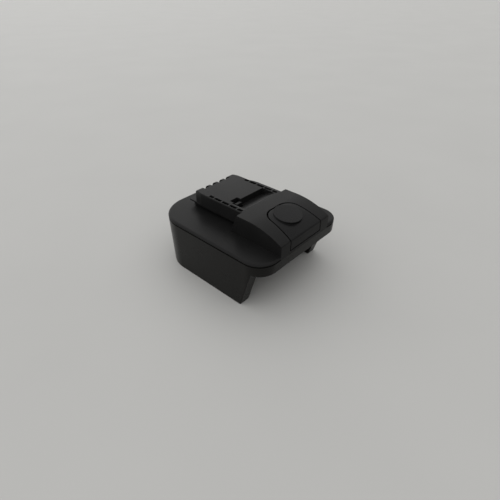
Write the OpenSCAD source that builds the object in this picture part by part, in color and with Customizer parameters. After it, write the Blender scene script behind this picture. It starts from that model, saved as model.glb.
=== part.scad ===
/* [Body] */
// Overall width across the flange
body_w = 80; // [76:1:90]
// Overall length from front to back
body_l = 95; // [93:1:110]
// Plan radius of the two front corners
front_corner_r = 12.5; // [8:0.5:16]
// Plan radius of the two back corners
back_corner_r = 23.5; // [16:0.5:26]
// Wall thickness of both shells
wall = 2.4; // [2:0.1:3]
// Play between parts that drop into one another
fit_gap = 0.15; // [0.1:0.05:0.3]

/* [Lower housing] */
// Height of the skirt from its foot to the parting line
skirt_h = 34; // [30:0.5:42]
// How far the skirt leans in at its foot
skirt_draft = 1; // [0.4:0.2:2]
// Height of the band that bridges the open front
band_h = 6.7; // [6:0.1:8]
// Thickness of the bay ceiling
ceiling_t = 3; // [2.6:0.1:3.4]
// Clear width of the battery bay
bay_w = 63.4; // [58:0.2:65]
// Plan radius of the bay's two back corners
bay_corner_r = 14; // [10:0.5:18]
// Thickness of the wall behind the bay
back_wall = 4.6; // [4:0.1:6]
// Thickness of the wall between the bay and the hollows
bay_wall = 2.4; // [2:0.1:2.8]
// Distance from the front face to the foot of the raked side walls
rake_foot = 17.1; // [14:0.1:22]
// Rake of the side walls' front ends
rake_angle = 17; // [5:1:25]
// Height of the guide ledges above the foot
ledge_z = 4; // [2:0.5:8]
// Thickness of the guide ledges
ledge_t = 3.4; // [2:0.2:5]
// How far the guide ledges stand into the bay
ledge_reach = 3.4; // [2:0.2:5]
// Length of the guide ledges
ledge_l = 42; // [30:1:46]
// Thickness of the ribs between the hollows of a side wall
hollow_rib = 2.6; // [2:0.1:4]
// Number of hollows in each side wall
hollow_count = 4; // [2:1:6]
// Depth of the catch recess for the pack's own latch
catch_depth = 1.8; // [1:0.1:2]
// Width of the catch recess
catch_w = 16; // [10:0.5:20]
// Length of the catch recess
catch_l = 6; // [4:0.5:8]

/* [Top cover] */
// Thickness of the flange
flange_t = 2; // [1.8:0.1:3]
// Height of the shadow gap along the parting line
seam_h = 0.45; // [0.3:0.05:0.6]
// Depth of the shadow gap
seam_in = 1.1; // [0.4:0.1:1.2]
// Height of the step in the housing's rim that makes the shadow gap taller
step_h = 0.4; // [0.2:0.05:0.6]
// How far the flange's rounded edge runs in
edge_in = 1.6; // [0.8:0.1:2]
// Height of the lip that locates the cover in the housing
lip_h = 1.4; // [1:0.1:1.8]
// Thickness of that lip
lip_t = 1.4; // [1:0.1:2]
// Height of the groove under the rails
groove_h = 3.6; // [3:0.1:4]
// Height of the rails above the groove
rail_h = 9; // [8.6:0.1:10]
// Width across the rails
rail_w = 36.4; // [35:0.2:40]
// Width of the neck under the rails
neck_w = 28.8; // [28:0.2:30]
// Distance from the front face to the back end of the rails
rail_end = 78.9; // [78:0.1:79.8]
// Distance from the front face to the back end of the neck
neck_end = 83.5; // [82.5:0.1:86]
// Width across the ledge that runs on behind the rails
tongue_w = 36; // [34:0.2:36.2]
// Thickness of the ledge that runs on behind the rails
tongue_t = 1; // [0.8:0.1:1.6]
// Length of the lead-in taper at the back of the rails
lead_l = 8; // [4:0.5:10]
// Depth of that lead-in taper on each side
lead_in = 2; // [0.5:0.1:2.2]
// Rounding of the rails' back top edge
rail_round = 3.2; // [1.6:0.1:3.6]
// Chamfer along the rails' outer top edges
rail_chamfer = 0.4; // [0.3:0.1:1]
// Wall thickness of the head above the contacts
head_wall = 2.2; // [2:0.1:2.6]
// Wall thickness of the neck
neck_wall = 1.8; // [1.4:0.1:2]

/* [Front block] */
// Width of the block in front of the rails
block_w = 46.6; // [44:0.2:52]
// Distance from the front face to the block's back top edge
block_end = 34.3; // [33.5:0.1:38]
// How far the block's back face leans out at its foot
block_lean = 5.2; // [2:0.1:7]
// Height of the deck above the flange
deck_h = 13; // [12.7:0.1:14]
// Radius of the deck's rounded nose
nose_r = 54; // [48:1:70]
// Distance from the front face to the start of the nose
nose_start = 25.5; // [24:0.5:28]
// Height of the sill under the latch above the parting line
sill_h = 1.5; // [1:0.1:1.9]

/* [Catch pocket] */
// Distance from the front face to the contact deck's front edge
pocket_end = 47.2; // [46:0.1:48.5]
// Length of the pocket's ramp
pocket_l = 12; // [10:0.5:13]
// Depth of the pocket below the contact deck
pocket_depth = 4.6; // [3:0.1:4.8]
// Distance from the middle to the pocket's left side
pocket_left = 13.7; // [13:0.1:14.4]
// Thickness of the wall between the pocket and the right windows
pocket_side = 0.6; // [0.4:0.1:1]
// Thickness of the wall behind the pocket
pocket_wall = 2.3; // [1.6:0.1:2.6]
// Width of the hook's notch
notch_w = 6.4; // [6.2:0.1:7]
// How far the notch runs in front of the contact deck
notch_front = 3.1; // [2.9:0.1:4]
// How far the notch runs into the contact deck
notch_back = 3.1; // [2.9:0.1:3.6]

/* [Rail windows] */
// Width of the windows along the rails
window_w = 1.9; // [1.2:0.1:2.2]
// Length of the three middle windows
window_l = 5.5; // [4:0.1:5.6]
// Length of the two end windows
window_end_l = 3.6; // [2:0.1:4]
// Rib left between two windows
window_rib = 1.2; // [1:0.1:2]
// Depth of the windows
window_depth = 7; // [3:0.5:7.5]
// Thickness of the rail wall outside the windows
window_wall = 0.9; // [0.8:0.1:1.8]
// Distance from the front face to the middle window's centre
window_mid = 50.3; // [49:0.1:51]

/* [Release latch] */
// Width of the latch at the front face
latch_w = 28.9; // [27:0.1:30]
// How much each side of the latch draws in per length
latch_taper = 0.12; // [0.05:0.01:0.2]
// Distance from the front face to the latch's back edge
latch_l = 23.5; // [23:0.1:24.4]
// Plan radius of the latch's back corners
latch_r = 8.5; // [6:0.1:9.5]
// Thickness of the latch
latch_t = 2.2; // [1.8:0.1:2.6]
// Gap along the latch's sides
latch_gap = 0.6; // [0.4:0.05:0.8]
// Gap behind the latch's back edge
latch_back_gap = 1; // [0.85:0.05:1.3]
// Gap under the latch's front lip
latch_sill_gap = 0.7; // [0.4:0.1:1]
// Diameter of the raised thumb disc
disc_d = 17.8; // [14:0.2:18]
// Height of the thumb disc's centre above the nose
disc_h = 0.8; // [0.6:0.1:1.6]
// Forward tilt of the thumb disc
disc_tilt = 9; // [4:0.5:12]
// Distance from the front face to the disc's centre
disc_y = 14.2; // [13.6:0.1:14.3]
// Width of the hook and its arm
hook_w = 4.6; // [4:0.1:5]
// Sideways place of the hook
hook_x = -9.2; // [-9.6:0.1:-9]
// Length of the hook along the rails
hook_l = 4; // [3:0.1:4.2]
// How far the hook's tip stays below the contact deck
hook_below = 1.2; // [0.6:0.1:2]
// Thickness of the hook's arm
arm_t = 2.6; // [2:0.1:2.8]
// Angle that the latch turns through when it is pressed
latch_press = 5; // [3:0.5:5]

/* [Latch hinge] */
// Distance from the front face to the hinge
hinge_y = 5; // [4.6:0.1:5.6]
// Height of the hinge above the flange
hinge_h = 5; // [4.6:0.1:5.4]
// Diameter of the hinge pin
pin_d = 2.4; // [2:0.1:3]
// Length of the hinge pin
pin_l = 36; // [35:0.2:37]
// Play of the latch on its pin
pin_gap = 0.05; // [0.03:0.01:0.1]
// Outer diameter of the latch's hinge lugs
lug_d = 5.2; // [4.8:0.1:5.6]
// Width of each hinge lug
lug_w = 3; // [2:0.1:4]
// Place of the hinge lugs from the middle
lug_x = 10; // [8:0.1:11]
// Thickness of each saddle that holds the pin
saddle_t = 3.2; // [3:0.1:3.4]
// Wall at the outer end of the pin
saddle_end = 0.6; // [0.5:0.05:0.7]

/* [Latch springs] */
// Sideways place of the two springs
spring_x = 6.5; // [5:0.1:7]
// Mean diameter of a spring
spring_d = 4.7; // [4.4:0.1:5.2]
// Wire diameter of a spring
spring_wire = 0.7; // [0.5:0.05:0.8]
// Number of turns in a spring
spring_turns = 6; // [4:1:8]
// Diameter of the pegs that centre a spring
peg_d = 3.2; // [2:0.1:3.4]
// Length of those pegs
peg_l = 2.6; // [1.5:0.1:3]
// Depth of the spring bosses under the latch
boss_drop = 2.6; // [1.5:0.1:3]

/* [Contacts] */
// Number of contacts on each side of the adapter
contact_count = 4; // [4:4]
// Spacing of the tool contacts
clip_pitch = 6.35; // [6.2:0.05:6.5]
// Width of the slots for the tool's blades
slot_w = 1.4; // [1.2:0.1:2.4]
// Width of the scoop that leads into each slot
scoop_w = 4; // [3:0.1:4.4]
// Length of those scoops
scoop_l = 4.4; // [3:0.1:5]
// Depth of those scoops at the back of the rails
scoop_depth = 2.8; // [1:0.1:3.2]
// Length of the slots in the contact deck
slot_l = 4; // [3.4:0.1:4.6]
// Depth of those slots
slot_depth = 7.6; // [6:0.1:8]
// Thickness of the clip metal
clip_t = 0.5; // [0.4:0.05:0.6]
// Width of a clip
clip_w = 3.2; // [2.8:0.1:3.4]
// Length of a clip
clip_l = 16; // [14:0.5:16.5]
// Height of a clip
clip_h = 5; // [4:0.1:5.2]
// Gap between a clip's jaws
jaw_gap = 0.7; // [0.5:0.1:1]
// Width of a clip's tail
tail_w = 2.2; // [1.8:0.1:2.4]
// Length of a clip's tail
clip_tail = 4.2; // [3.8:0.1:4.4]
// Spacing of the pack contacts
blade_pitch = 7; // [6:0.1:7.5]
// Thickness of the blades
blade_t = 0.8; // [0.6:0.05:1]
// Height of the blades
blade_h = 7.5; // [6:0.1:8]
// Bare length of the blades in the bay
blade_l = 15.5; // [10:0.5:18]
// Width of a blade's tail
blade_tail = 3; // [2:0.1:3.2]
// Distance from the blade carrier's back to the middle of the blade tails
tail_in = 6.5; // [5:0.1:7]

/* [Carriers] */
// Distance from the front face to the clip carrier
carrier_y = 51.5; // [51.2:0.1:51.8]
// Length of the clip carrier
carrier_l = 22; // [21.4:0.1:22.2]
// Wall thickness of the clip carrier
carrier_wall = 1.2; // [1:0.1:1.4]
// Thickness of the clip carrier's deck under the clips
carrier_deck = 1; // [0.8:0.1:1.2]
// Play around each clip
clip_gap = 0.1; // [0.05:0.05:0.2]
// Gap between the blade carrier and the back of the bay
block_gap = 0.4; // [0.2:0.1:1]
// Length of the blade carrier
blade_block_l = 15; // [14:0.1:15]
// Width of the blade carrier
blade_block_w = 38; // [37:0.5:40]
// Height of the blade carrier
blade_block_h = 14; // [12.5:0.1:16]

/* [Circuit board] */
// Width of the board
board_w = 29; // [28:0.5:32]
// Distance from the front face to the board
board_y = 33.5; // [33:0.1:34]
// Thickness of the board
board_t = 1.6; // [1:0.1:1.6]
// Height of the board's posts
post_h = 1; // [0.8:0.1:1.1]
// Diameter of the board's posts
post_d = 4.4; // [4:0.1:5]
// Inset of the posts from the board's edges
post_in = 2; // [1.9:0.1:2.2]
// Diameter of the smoothing capacitor
capacitor_d = 6.3; // [5:0.1:6.6]
// Height of the smoothing capacitor
capacitor_h = 7.4; // [5:0.1:7.8]
// Width of a power transistor
transistor_w = 6.5; // [5:0.1:6.6]
// Length of a power transistor's body
transistor_l = 6; // [5:0.1:6.2]
// Height of a power transistor
transistor_h = 2.3; // [1.5:0.1:2.4]
// Width of the control chip
chip_w = 5; // [4:0.1:5.4]
// Length of the control chip
chip_l = 4; // [3:0.1:4.4]
// Height of the control chip
chip_h = 1.6; // [1:0.1:1.8]
// Length of a chip resistor
resistor_l = 2; // [1.6:0.1:2.2]
// Width of a chip resistor
resistor_w = 1.2; // [0.8:0.1:1.2]
// Height of a chip resistor
resistor_h = 0.6; // [0.4:0.1:0.8]

/* [Wires] */
// Diameter of the power wires
power_wire_d = 2.2; // [1.8:0.1:2.2]
// Diameter of the signal wires
signal_wire_d = 1.2; // [0.8:0.1:1.4]
// Room for the wires between the board and the blade tails
wire_room = 4.5; // [4:0.1:5]
// Straight length of a wire at a blade's tail
wire_lead = 1.8; // [1.5:0.1:2]
// Gap between a wire and the board that it passes over
wire_gap = 0.5; // [0.3:0.1:0.8]
// Inset of the wire's pad from the board's back edge
pad_in = 1.6; // [1.4:0.1:2]

/* [Screws] */
// Shank diameter of the housing and carrier screws
screw_d = 2.8; // [2.4:0.1:3]
// Head diameter of those screws
head_d = 5.4; // [5:0.1:5.6]
// Head height of those screws
head_h = 1.5; // [1.2:0.1:1.6]
// Length of a housing screw's shank
screw_l = 5.4; // [5:0.1:5.6]
// Length of a carrier screw's shank
carrier_screw_l = 11; // [8:0.5:12]
// Shank diameter of the board screws
board_screw_d = 1.8; // [1.6:0.1:2]
// Head diameter of the board screws
board_head_d = 3.8; // [3.4:0.1:4]
// Head height of the board screws
board_head_h = 0.9; // [0.7:0.1:1]
// Length of a board screw's shank
board_screw_l = 4.2; // [3.8:0.1:4.4]
// Play of a screw in its pilot hole
pilot_gap = 0.05; // [0.03:0.01:0.1]
// Play of a screw in its clearance hole
screw_gap = 0.2; // [0.1:0.05:0.3]
// Outer diameter of the screw bosses
screw_boss_d = 6.4; // [6:0.1:7]
// Width and depth of the screw heads' cross slots
cross_w = 0.8; // [0.6:0.1:1]
// Sideways place of the front housing screws
front_screw_x = 27; // [26:0.5:28]
// Distance from the front face to the front housing screws
front_screw_y = 11.5; // [10:0.5:14]
// Sideways place of the back housing screws
back_screw_x = 25; // [24:0.5:27]
// Distance from the back face to the back housing screws
back_screw_y = 17.5; // [16.5:0.5:22]
// Inset of the carrier screws from the blade carrier's ends
carrier_screw_in = 3.6; // [3.4:0.1:4]

/* [Hidden] */
$fn = 72;
// Overlap that makes a cut run clean through a face
cut = 1;
// Steps in a rounded corner of the latch's plan
arc_steps = 14;

// Plan limits
half_w = body_w / 2;
front_y = -body_l / 2;
back_y = body_l / 2;

// Levels
bay_top = skirt_h - band_h;
floor_z = bay_top + ceiling_t;
part_z = skirt_h;
flange_z = part_z + flange_t;
groove_z = flange_z + groove_h;
contact_z = groove_z + rail_h;
deck_z = flange_z + deck_h;
sill_z = part_z + sill_h;
board_z = floor_z + post_h;
board_top = board_z + board_t;

// Places along the length
rail_back = front_y + rail_end;
neck_back = front_y + neck_end;
block_back = front_y + block_end;
pocket_back = front_y + pocket_end;
pocket_floor = contact_z - pocket_depth;
pocket_right = rail_w / 2 - window_wall - window_w - pocket_side;
bay_back = back_y - back_wall;
bay_half = bay_w / 2;
neck_in = neck_w / 2 - neck_wall;
head_in_front = pocket_back + pocket_wall;
head_in_back = rail_back - slot_l + cut;
head_in_z = contact_z - head_wall;
under_ramp_z = pocket_floor - head_wall + fit_gap;
hinge = [0, front_y + hinge_y, flange_z + hinge_h];
nose = [0, front_y + nose_start, deck_z - nose_r];
disc = [0, front_y + disc_y,
    nose.z + sqrt(nose_r * nose_r - (front_y + disc_y - nose.y) * (front_y + disc_y - nose.y)) + disc_h];
disc_root = 2 * (disc_h + latch_t);
spring_top = deck_z - latch_t - boss_drop - latch_t;
spring_low = floor_z;
arm_z = under_ramp_z - fit_gap * 4 - arm_t;
hook_y = pocket_back + (notch_back - notch_front) / 2 - hook_l / 2;
web_y = disc.y + spring_d / 2 + spring_wire + 2 * fit_gap;
web_t = latch_t;
screw_tip = bay_top + head_h + screw_l;
tall_x = neck_in - capacitor_d / 2 - 2 * fit_gap;
carrier_front = front_y + carrier_y;
carrier_top = head_in_z - fit_gap;
clip_top = carrier_top - carrier_wall + clip_gap;
clip_z = clip_top - clip_h;
hollow_top = clip_z - clip_gap - carrier_deck;
clip_front = carrier_front + carrier_l - clip_l - carrier_wall;
blade_block_front = bay_back - block_gap - blade_block_l;
blade_z = bay_top - blade_block_h + carrier_wall;
blade_tail_y = bay_back - block_gap - tail_in;
blade_tail_top = part_z - fit_gap * 4;
wire_z = blade_tail_top - power_wire_d / 2;
wire_in_y = blade_tail_y - blade_tail / 2;
wire_out_z = clip_z - clip_gap - carrier_deck - power_wire_d * 0.75;
wire_over_z = board_top + power_wire_d / 2 + wire_gap;
wire_out_y = clip_front + clip_t;

// Places of the repeated pieces
clip_places = [for (i = [0 : contact_count - 1]) (i - (contact_count - 1) / 2) * clip_pitch];
blade_places = [for (i = [0 : contact_count - 1]) (i - (contact_count - 1) / 2) * blade_pitch];
window_step = window_l + window_rib;
window_end_step = window_step + (window_l + window_end_l) / 2 + window_rib;
housing_screw_places = [for (s = [-1, 1]) each [
    [s * front_screw_x, front_y + front_screw_y],
    [s * back_screw_x, back_y - back_screw_y]]];
carrier_screw_places = [for (s = [-1, 1]) [s * (blade_block_w / 2 - carrier_screw_in), blade_tail_y]];
board_front = front_y + board_y;
board_back = wire_in_y - wire_room;
board_l = board_back - board_front;
post_x = board_w / 2 - post_in;
post_places = [for (s = [-1, 1]) each [
    [s * post_x, board_front + post_in],
    [s * post_x, board_back - post_in]]];
board_screw_places = [for (s = [-1, 1]) [s * post_x, board_front + post_in]];
part_y = board_front + transistor_l / 2 + cut;

// Plan outline of the body, drawn in by the inset
module plan(inset) {
    for (s = [-1, 1]) {
        translate([s * (half_w - front_corner_r), front_y + front_corner_r])
            circle(front_corner_r - inset);
        translate([s * (half_w - back_corner_r), back_y - back_corner_r])
            circle(back_corner_r - inset);
    }
    translate([inset - half_w, front_y + front_corner_r])
        square([body_w - 2 * inset, body_l - front_corner_r - back_corner_r]);
    translate([front_corner_r - half_w, front_y + inset])
        square([body_w - 2 * front_corner_r, body_l / 2]);
    translate([back_corner_r - half_w, 0])
        square([body_w - 2 * back_corner_r, back_y - inset]);
}

// Body-shaped layer whose inset changes from its foot to its top
module layer(z, h, inset_low, inset_top) {
    for (s = [-1, 1]) {
        translate([s * (half_w - front_corner_r), front_y + front_corner_r, z])
            cylinder(h = h, r1 = front_corner_r - inset_low, r2 = front_corner_r - inset_top);
        translate([s * (half_w - back_corner_r), back_y - back_corner_r, z])
            cylinder(h = h, r1 = back_corner_r - inset_low, r2 = back_corner_r - inset_top);
    }
    translate([0, back_y - back_corner_r, z])
        rotate([90, 0, 0])
            linear_extrude(body_l - front_corner_r - back_corner_r)
                polygon([[inset_low - half_w, 0], [half_w - inset_low, 0],
                    [half_w - inset_top, h], [inset_top - half_w, h]]);
    side_slice(2 * (half_w - front_corner_r))
        polygon([[front_y + inset_low, z], [0, z], [0, z + h], [front_y + inset_top, z + h]]);
    side_slice(2 * (half_w - back_corner_r))
        polygon([[back_y - inset_low, z], [back_y - inset_top, z + h], [0, z + h], [0, z]]);
}

// Side profile, drawn in Y and Z, carried across the width
module side_slice(w, x = 0) {
    translate([x - w / 2, 0, 0])
        rotate([90, 0, 90])
            linear_extrude(w)
                children();
}

// Block between two corners
module block(low, high) {
    translate(low)
        cube(high - low);
}

// Plan of the battery bay, wider by the margin
module bay_plan(margin) {
    half = bay_half + margin;
    r = bay_corner_r + margin;
    translate([-half, front_y - cut])
        square([2 * half, bay_back + margin - r - front_y + cut]);
    translate([r - half, 0])
        square([2 * (half - r), bay_back + margin]);
    for (s = [-1, 1])
        translate([s * (half - r), bay_back + margin - r])
            circle(r);
}

// Hollows that open at the foot of both side walls
module side_hollows() {
    start = front_y + rake_foot + hollow_rib;
    span = bay_back - bay_corner_r - start;
    step = (span + hollow_rib) / hollow_count;
    intersection() {
        difference() {
            layer(-cut, bay_top + cut - bay_wall, skirt_draft + wall, wall);
            translate([0, 0, -2 * cut])
                linear_extrude(bay_top + 3 * cut)
                    bay_plan(bay_wall);
        }
        for (i = [0 : hollow_count - 1])
            block([-body_w, start + i * step, -2 * cut],
                [body_w, start + (i + 1) * step - hollow_rib, bay_top]);
    }
}

// Step round the housing's rim, apart from the front block's width
module rim_step() {
    translate([0, 0, part_z - step_h])
        linear_extrude(step_h + cut)
            difference() {
                plan(-cut);
                plan(seam_in);
                translate([-block_w / 2, front_y - 2 * cut])
                    square([block_w, wall]);
            }
}

// Skirt, bay ceiling, guide ledges and the posts inside
module lower_housing() {
    color("#26282a") {
        difference() {
            layer(0, part_z, skirt_draft, 0);
            translate([0, 0, -cut])
                linear_extrude(bay_top + cut)
                    bay_plan(0);
            side_slice(body_w + 2 * cut)
                polygon([[front_y + rake_foot, -cut],
                    [front_y + rake_foot, 0],
                    [front_y + rake_foot - bay_top * tan(rake_angle), bay_top],
                    [front_y - cut, bay_top],
                    [front_y - cut, -cut]]);
            side_hollows();
            rim_step();
            translate([0, 0, floor_z])
                linear_extrude(part_z)
                    plan(wall);
            block([-catch_w / 2, front_y + front_screw_y - catch_l / 2, bay_top - cut],
                [catch_w / 2, front_y + front_screw_y + catch_l / 2, bay_top + catch_depth]);
            block([blade_places[0] - blade_tail, blade_tail_y - blade_tail, bay_top - cut],
                [blade_places[3] + blade_tail, blade_tail_y + blade_tail, floor_z + cut]);
            for (p = housing_screw_places)
                translate([p.x, p.y, bay_top - cut]) {
                    cylinder(h = ceiling_t + 2 * cut, d = screw_d + 2 * screw_gap);
                    cylinder(h = head_h + cut, d = head_d + 2 * screw_gap);
                }
            for (p = carrier_screw_places)
                translate([p.x, p.y, bay_top - cut])
                    cylinder(h = ceiling_t + 2 * cut, d = screw_d + 2 * screw_gap);
            for (p = board_screw_places)
                translate([p.x, p.y, board_top - board_screw_l])
                    cylinder(h = board_screw_l, d = board_screw_d + 2 * pilot_gap);
        }
        for (s = [-1, 1]) {
            guide_ledge(s);
            translate([s * spring_x, disc.y, floor_z])
                cylinder(h = peg_l, d = peg_d);
            pin_post(s);
        }
        for (p = post_places)
            translate([p.x, p.y, floor_z])
                difference() {
                    cylinder(h = post_h, d = post_d);
                    if (p.y < board_front + board_l / 2)
                        translate([0, 0, -cut])
                            cylinder(h = post_h + 2 * cut, d = board_screw_d + 2 * pilot_gap);
                }
    }
}

// One of the two ledges that carry the pack's rails, with a lead-in
module guide_ledge(s) {
    start = front_y + rake_foot;
    translate([0, 0, ledge_z])
        linear_extrude(ledge_t)
            polygon([[s * (bay_half + bay_wall / 2), start],
                [s * bay_half, start],
                [s * (bay_half - ledge_reach), start + ledge_reach],
                [s * (bay_half - ledge_reach), start + ledge_l],
                [s * (bay_half + bay_wall / 2), start + ledge_l]]);
}

// Post that closes a hinge saddle from below
module pin_post(s) {
    side = pin_d - 2 * fit_gap;
    x = s * (pin_l / 2 - side / 2 - fit_gap);
    block([x - side / 2, hinge.y - side / 2, floor_z],
        [x + side / 2, hinge.y + side / 2, hinge.z - pin_d / 2]);
}

// Plan of the latch, or of its opening, from the front face back
module shield(half, l, r) {
    lean = sqrt(1 + latch_taper * latch_taper);
    centre = [half - latch_taper * (l - r) - r * lean, l - r];
    first = atan(latch_taper);
    side = [[half, 0], for (i = [0 : arc_steps])
        let (a = first + (90 - first) * i / arc_steps)
        centre + r * [cos(a), sin(a)]];
    translate([0, front_y])
        polygon(concat(side, [for (i = [arc_steps + 1 : -1 : 0]) [-side[i].x, side[i].y]]));
}

// Side profile below the deck and its rounded nose, raised by the lift
module deck_profile(low, back, lift) {
    intersection() {
        translate([front_y - cut, low])
            square([back - front_y + cut, deck_z + lift - low]);
        union() {
            translate([nose.y, nose.z])
                circle(nose_r + lift, $fn = 240);
            translate([nose.y, low - cut])
                square([back - nose.y + cut, deck_z + lift - low + cut]);
        }
    }
}

// Block in front of the rails, with its leaning back face
module front_block() {
    intersection() {
        side_slice(block_w)
            deck_profile(part_z, block_back + block_lean, 0);
        side_slice(block_w)
            polygon([[front_y, part_z], [block_back + block_lean, part_z],
                [block_back + block_lean, flange_z], [block_back, deck_z],
                [block_back, deck_z + cut], [front_y, deck_z + cut]]);
    }
}

// Plan of the rails with their lead-in tapers
module rail_plan() {
    half = rail_w / 2;
    polygon([[-half, block_back - rail_round], [half, block_back - rail_round],
        [half, rail_back - lead_l], [half - lead_in, rail_back],
        [lead_in - half, rail_back], [-half, rail_back - lead_l]]);
}

// Rails and contact deck, rounded along the back top edge
module rails() {
    start = block_back - rail_round;
    half = rail_w / 2;
    shoulder = half - rail_chamfer;
    intersection() {
        translate([0, 0, groove_z])
            linear_extrude(rail_h + cut)
                rail_plan();
        side_slice(rail_w + 2 * cut)
            union() {
                translate([start - cut, groove_z - cut])
                    square([rail_back - start + cut, rail_h - rail_round + cut]);
                translate([start - cut, groove_z - cut])
                    square([rail_back - rail_round - start + cut, rail_h + cut]);
                translate([rail_back - rail_round, contact_z - rail_round])
                    circle(rail_round);
            }
        translate([0, rail_back + cut, 0])
            rotate([90, 0, 0])
                linear_extrude(rail_back - start + 3 * cut)
                    polygon([[-half - cut, groove_z - cut], [half + cut, groove_z - cut],
                        [half + cut, contact_z - rail_chamfer - cut], [shoulder - cut, contact_z + cut],
                        [cut - shoulder, contact_z + cut], [-half - cut, contact_z - rail_chamfer - cut]]);
    }
    block([-tongue_w / 2, rail_back - lead_l, groove_z], [tongue_w / 2, neck_back, groove_z + tongue_t]);
    block([-neck_w / 2, start, part_z], [neck_w / 2, neck_back - fit_gap, groove_z + tongue_t / 2]);
}

// Rows of windows beside the contact deck
module rail_windows() {
    outer = rail_w / 2 - window_wall;
    for (s = [-1, 1], i = [-2 : 2]) {
        l = abs(i) == 2 ? window_end_l : window_l;
        y = front_y + window_mid + sign(i) * (abs(i) == 2 ? window_end_step : abs(i) * window_step);
        block([s > 0 ? outer - window_w : -outer, y - l / 2, contact_z - window_depth],
            [s > 0 ? outer : window_w - outer, y + l / 2, contact_z + cut]);
    }
}

// Side profile of the scoop that leads into a slot
module scoop() {
    polygon([[rail_back - scoop_l, contact_z], [rail_back + cut, contact_z - scoop_depth * (1 + cut / scoop_l)],
        [rail_back + cut, contact_z + cut], [rail_back - scoop_l, contact_z + cut]]);
}

// Ramped pocket in front of the contact deck
module catch_pocket() {
    side_slice(pocket_left + pocket_right, (pocket_right - pocket_left) / 2)
        polygon([[pocket_back, pocket_floor], [pocket_back, deck_z + cut],
            [pocket_back - pocket_l - cut, deck_z + cut], [pocket_back - pocket_l, deck_z]]);
}

// Saddle under the deck that holds one end of the hinge pin
module pin_saddle(s) {
    outer = pin_l / 2 + saddle_end;
    side = lug_d / 2;
    intersection() {
        difference() {
            block([s > 0 ? outer - saddle_t : -outer, front_y + wall / 2, hinge.z - side],
                [s > 0 ? outer : saddle_t - outer, hinge.y + side, deck_z]);
            translate([0, hinge.y, hinge.z])
                rotate([0, 90, 0])
                    cylinder(h = pin_l + 2 * pin_gap, d = pin_d + 2 * pin_gap, center = true);
            block([-pin_l / 2 - pin_gap, hinge.y - pin_d / 2 - pin_gap, hinge.z - lug_d],
                [pin_l / 2 + pin_gap, hinge.y + pin_d / 2 + pin_gap, hinge.z]);
        }
        side_slice(block_w)
            deck_profile(part_z, block_back, -head_wall / 2);
    }
}

// Flange, neck, rails and front block in one shell
module top_cover() {
    rim = flange_t / 2;
    color("#2b2d2f") {
        difference() {
            union() {
                translate([0, 0, part_z])
                    linear_extrude(rim)
                        plan(seam_in);
                translate([0, 0, part_z + seam_h])
                    linear_extrude(rim - seam_h)
                        plan(0);
                layer(part_z + rim, rim * 0.6, 0, edge_in * 0.35);
                layer(part_z + rim * 1.6, rim * 0.4, edge_in * 0.35, edge_in);
                front_block();
                rails();
            }
            // Hollow of the front block
            intersection() {
                side_slice(block_w - 2 * head_wall)
                    deck_profile(part_z - cut, block_back - head_wall, -head_wall);
                block([-block_w, front_y + wall, part_z - 2 * cut], [block_w, block_back, deck_z]);
            }
            // Hollow of the neck and the head
            block([-neck_in, block_back - head_wall - cut, part_z - cut],
                [neck_in, head_in_front + cut, under_ramp_z]);
            block([-neck_in, head_in_front, part_z - cut], [neck_in, head_in_back, head_in_z]);
            block([-neck_in, head_in_back - cut, part_z - cut],
                [neck_in, neck_back - neck_wall, groove_z - neck_wall + tongue_t]);
            // Opening of the latch
            translate([0, 0, sill_z])
                linear_extrude(deck_z)
                    shield(latch_w / 2 + latch_gap, latch_l + latch_back_gap, latch_r + latch_gap);
            block([-latch_w / 2 - latch_gap, front_y - cut, sill_z],
                [latch_w / 2 + latch_gap, front_y + cut, deck_z]);
            catch_pocket();
            block([hook_x - notch_w / 2, pocket_back - notch_front, under_ramp_z - cut],
                [hook_x + notch_w / 2, pocket_back + notch_back, deck_z + cut]);
            rail_windows();
            for (x = clip_places) {
                block([x - slot_w / 2, rail_back - slot_l, contact_z - slot_depth],
                    [x + slot_w / 2, rail_back + cut, contact_z + cut]);
                side_slice(scoop_w, x)
                    scoop();
            }
            for (p = housing_screw_places)
                translate([p.x, p.y, floor_z])
                    cylinder(h = screw_tip + fit_gap - floor_z, d = screw_d + 2 * pilot_gap);
        }
        translate([0, 0, part_z - lip_h])
            linear_extrude(lip_h)
                difference() {
                    plan(wall + fit_gap);
                    plan(wall + fit_gap + lip_t);
                }
        for (p = housing_screw_places)
            translate([p.x, p.y, floor_z])
                difference() {
                    cylinder(h = part_z - floor_z, d = screw_boss_d);
                    translate([0, 0, -cut])
                        cylinder(h = part_z - floor_z + 2 * cut, d = screw_d + 2 * pilot_gap);
                }
        for (s = [-1, 1])
            pin_saddle(s);
    }
}

// Latch with its front lip, thumb disc, hinge lugs, spring bosses and hook
module release_latch() {
    color("#303234") {
        difference() {
            union() {
                intersection() {
                    translate([0, 0, sill_z + latch_sill_gap])
                        linear_extrude(deck_z)
                            shield(latch_w / 2, latch_l, latch_r);
                    side_slice(latch_w)
                        difference() {
                            deck_profile(part_z, block_back, 0);
                            intersection() {
                                deck_profile(part_z - cut, block_back + cut, -latch_t);
                                translate([front_y + latch_t, part_z - 2 * cut])
                                    square([body_l, body_l]);
                            }
                        }
                }
                thumb_disc();
                for (s = [-1, 1]) {
                    hinge_lug(s);
                    spring_boss(s);
                }
                hook_arm();
            }
            translate([0, hinge.y, hinge.z])
                rotate([0, 90, 0])
                    cylinder(h = body_w, d = pin_d + 2 * pin_gap, center = true);
        }
    }
}

// Raised disc, flatter than the nose, so it stands proud at the front
module thumb_disc() {
    difference() {
        translate(disc)
            rotate([disc_tilt, 0, 0])
                translate([0, 0, -disc_root])
                    cylinder(h = disc_root, d = disc_d);
        side_slice(disc_d + 2 * cut)
            deck_profile(part_z - cut, block_back + cut, -latch_t / 2);
    }
}

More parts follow.
